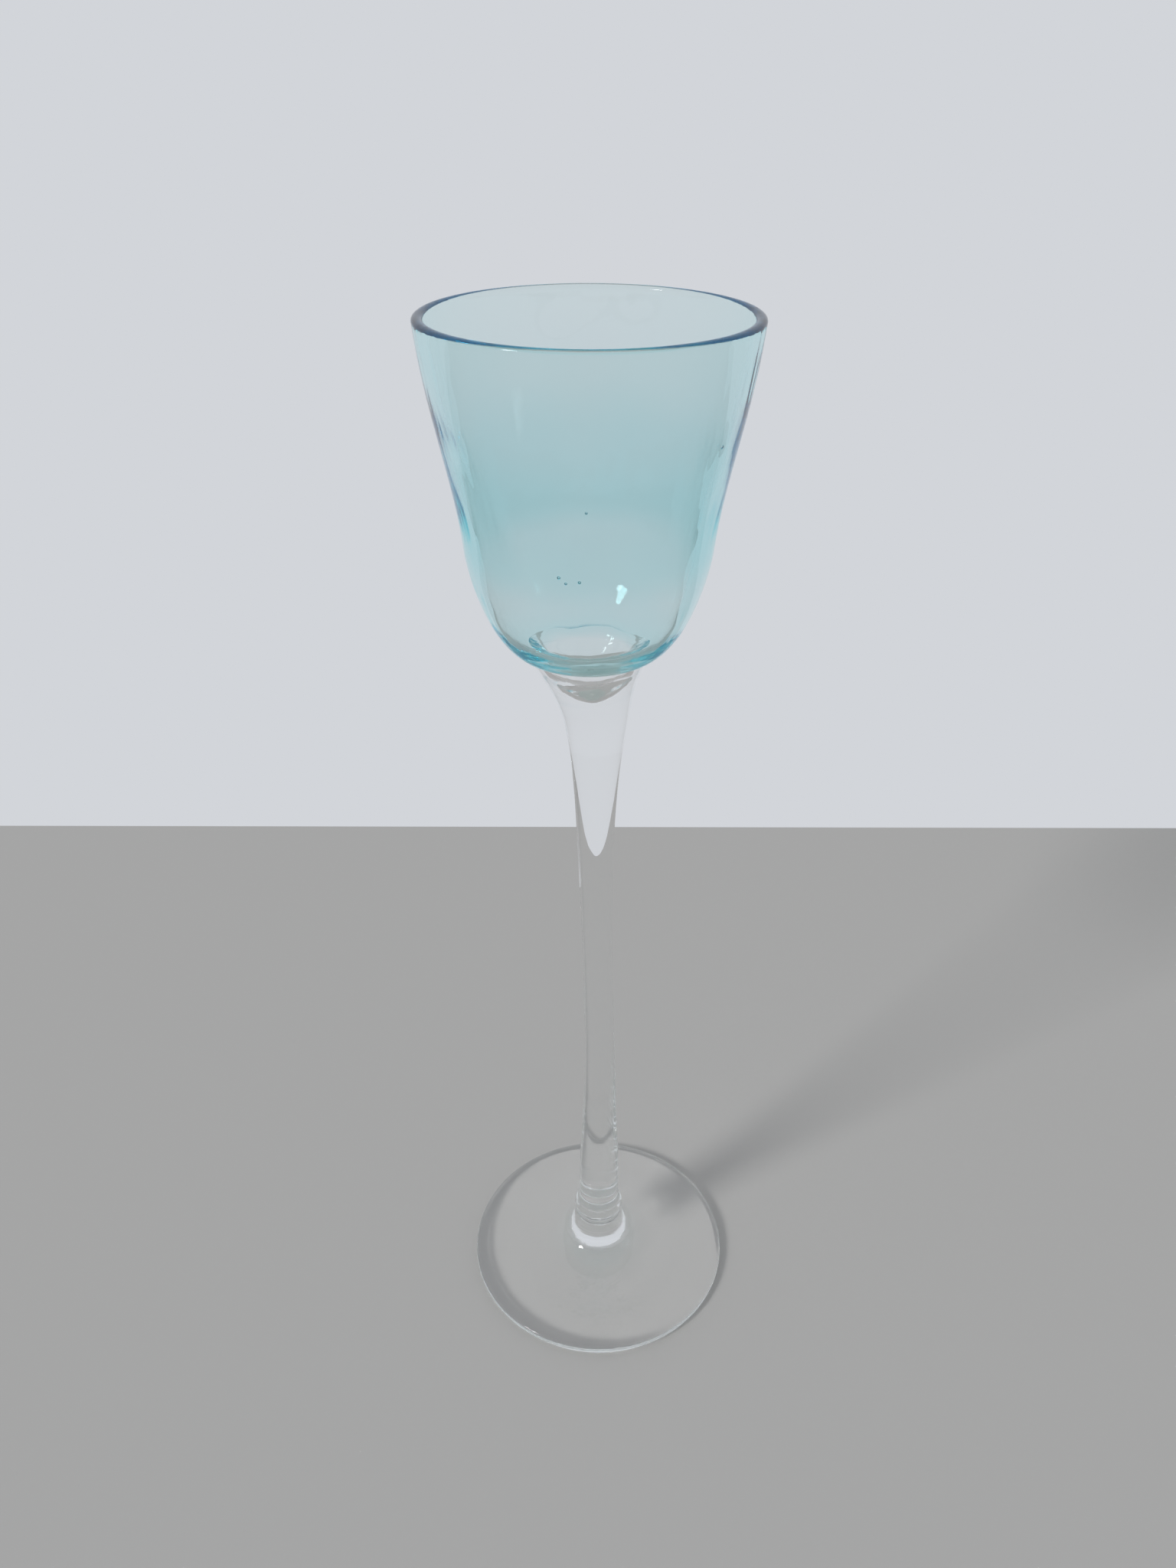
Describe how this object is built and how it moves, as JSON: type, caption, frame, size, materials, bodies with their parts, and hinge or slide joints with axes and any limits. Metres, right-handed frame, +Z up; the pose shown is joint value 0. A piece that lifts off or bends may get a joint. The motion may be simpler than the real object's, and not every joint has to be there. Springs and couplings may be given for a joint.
{
  "type": "stemmed liqueur glass",
  "caption": "Tall stemmed liqueur glass: tapered aqua bowl with a rounded lip on a long clear drawn stem with a trumpet flare, standing on a clear disc foot.",
  "frame": {"origin": "on the table, under the middle of the foot", "axes": "+Z up along the stem, +X to the right as the picture sees it; the bowl's axis is parallel to Z and 2.6 mm towards -X"},
  "size_m": [0.0576, 0.0576, 0.2093],
  "materials": {
    "aqua_glass": "fire-polished pale aqua glass, tint deepest where the wall is seen edge on",
    "clear_glass": "fire-polished clear glass"
  },
  "bodies": {
    "root": {"bowl": "aqua_glass", "stem": "clear_glass", "foot": "clear_glass"}
  },
  "joints": []
}
